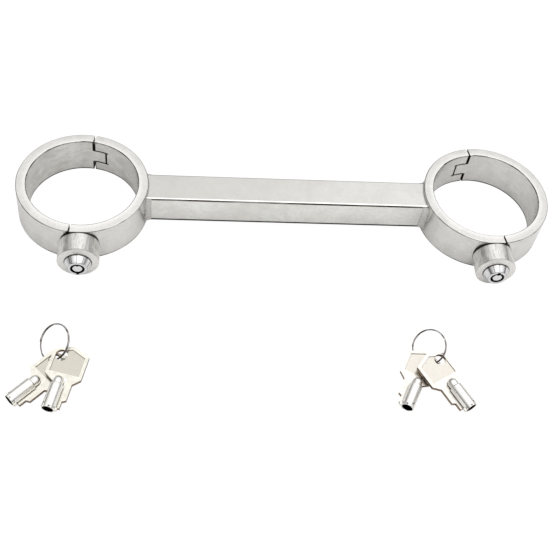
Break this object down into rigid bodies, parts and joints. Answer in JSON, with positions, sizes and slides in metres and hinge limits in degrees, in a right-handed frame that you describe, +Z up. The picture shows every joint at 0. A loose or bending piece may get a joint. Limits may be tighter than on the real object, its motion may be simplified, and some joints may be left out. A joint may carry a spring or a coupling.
{
  "type": "rigid bar handcuffs",
  "caption": "Hinged round wrist cuffs on a rigid square bar, each with a tubular-key lock boss, and split rings of flat-bowed tubular keys.",
  "frame": {"origin": "bottom centre of the whole set's box, on the surface it lies on", "axes": "+X along the bar from the left cuff to the right cuff, +Y from the locks to the hinges, +Z up along the cuff axes"},
  "size_m": [0.296, 0.1682, 0.022],
  "materials": {
    "polished_ring": "polished stainless steel with fine turning marks",
    "brushed_bar": "stainless steel, finely brushed along its length",
    "ground_weld": "ground and blended stainless weld",
    "satin_housing": "turned stainless steel with a matt front face",
    "chrome_lock": "bright chrome plate",
    "rotor_steel": "plain turned steel",
    "pin_steel": "plain ground steel",
    "lock_brass": "machined brass",
    "spring_steel": "bright drawn wire",
    "nickel_key": "warm nickel plate, satin in the panel"
  },
  "bodies": {
    "frame": {"bar": "brushed_bar", "left_fixed_half": "polished_ring", "left_hinge_pin": "pin_steel", "left_bar_weld": "ground_weld", "left_lock_weld": "ground_weld", "left_lock_housing": "satin_housing", "left_lock_shell": "chrome_lock", "left_lock_stator": "lock_brass", "left_lock_driver_pins": "lock_brass", "left_lock_pin_springs": "spring_steel", "left_lock_grub_screw": "pin_steel", "right_fixed_half": "polished_ring", "right_hinge_pin": "pin_steel", "right_bar_weld": "ground_weld", "right_lock_weld": "ground_weld", "right_lock_housing": "satin_housing", "right_lock_shell": "chrome_lock", "right_lock_stator": "lock_brass", "right_lock_driver_pins": "lock_brass", "right_lock_pin_springs": "spring_steel", "right_lock_grub_screw": "pin_steel"},
    "left_moving_half": {"left_moving_half": "polished_ring"},
    "left_rotor": {"left_lock_rotor": "rotor_steel", "left_lock_drive_pin": "pin_steel", "left_lock_key_pins": "lock_brass"},
    "left_bolt": {"left_lock_bolt": "pin_steel"},
    "left_key_ring": {"left_key_ring": "spring_steel"},
    "left_key_a": {"left_key_a_bow": "nickel_key", "left_key_a_tube": "nickel_key"},
    "left_key_b": {"left_key_b_bow": "nickel_key", "left_key_b_tube": "nickel_key"},
    "right_moving_half": {"right_moving_half": "polished_ring"},
    "right_rotor": {"right_lock_rotor": "rotor_steel", "right_lock_drive_pin": "pin_steel", "right_lock_key_pins": "lock_brass"},
    "right_bolt": {"right_lock_bolt": "pin_steel"},
    "right_key_ring": {"right_key_ring": "spring_steel"},
    "right_key_a": {"right_key_a_bow": "nickel_key", "right_key_a_tube": "nickel_key"},
    "right_key_b": {"right_key_b_bow": "nickel_key", "right_key_b_tube": "nickel_key"}
  },
  "joints": [
    {"name": "left_cuff_hinge", "type": "hinge", "parent": "frame", "child": "left_moving_half", "pos_m": [-0.10423, 0.08028, 0.011], "axis": [0, 0, -1], "range_deg": [0, 105]},
    {"name": "left_rotor_turn", "type": "hinge", "parent": "frame", "child": "left_rotor", "pos_m": [-0.1125, 0.01349, 0.011], "axis": [0, 1, 0], "range_deg": [0, 90]},
    {"name": "left_bolt_slide", "type": "slide", "parent": "frame", "child": "left_bolt", "axis": [0, 1, 0], "range_m": [0, 0.003]},
    {"name": "left_key_lift", "type": "slide", "parent": "frame", "child": "left_key_ring", "axis": [0, 0, 1], "range_m": [0, 0.1]},
    {"name": "left_key_a_swing", "type": "hinge", "parent": "left_key_ring", "child": "left_key_a", "pos_m": [-0.11699, -0.05299, 0.00688], "axis": [-0.0181, -0.0674, 0.9976], "range_deg": [-8, 8]},
    {"name": "left_key_b_swing", "type": "hinge", "parent": "left_key_ring", "child": "left_key_b", "pos_m": [-0.12059, -0.05358, 0.00383], "axis": [-0.051, -0.0476, 0.9976], "range_deg": [-5, 12]},
    {"name": "right_cuff_hinge", "type": "hinge", "parent": "frame", "child": "right_moving_half", "pos_m": [0.10423, 0.08028, 0.011], "axis": [0, 0, 1], "range_deg": [0, 105]},
    {"name": "right_rotor_turn", "type": "hinge", "parent": "frame", "child": "right_rotor", "pos_m": [0.1125, 0.01349, 0.011], "axis": [0, 1, 0], "range_deg": [0, 90]},
    {"name": "right_bolt_slide", "type": "slide", "parent": "frame", "child": "right_bolt", "axis": [0, 1, 0], "range_m": [0, 0.003]},
    {"name": "right_key_lift", "type": "slide", "parent": "frame", "child": "right_key_ring", "axis": [0, 0, 1], "range_m": [0, 0.1]},
    {"name": "right_key_a_swing", "type": "hinge", "parent": "right_key_ring", "child": "right_key_a", "pos_m": [0.07351, -0.05299, 0.00688], "axis": [0.0349, -0.0604, 0.9976], "range_deg": [-4, 12]},
    {"name": "right_key_b_swing", "type": "hinge", "parent": "right_key_ring", "child": "right_key_b", "pos_m": [0.06991, -0.05358, 0.00383], "axis": [-0.0306, -0.0627, 0.9976], "range_deg": [-12, 4]}
  ],
  "couplings": [
    {"joint": "left_rotor_turn", "follows": "left_bolt_slide", "rad_per_m": 523.59},
    {"joint": "right_rotor_turn", "follows": "right_bolt_slide", "rad_per_m": 523.59}
  ]
}
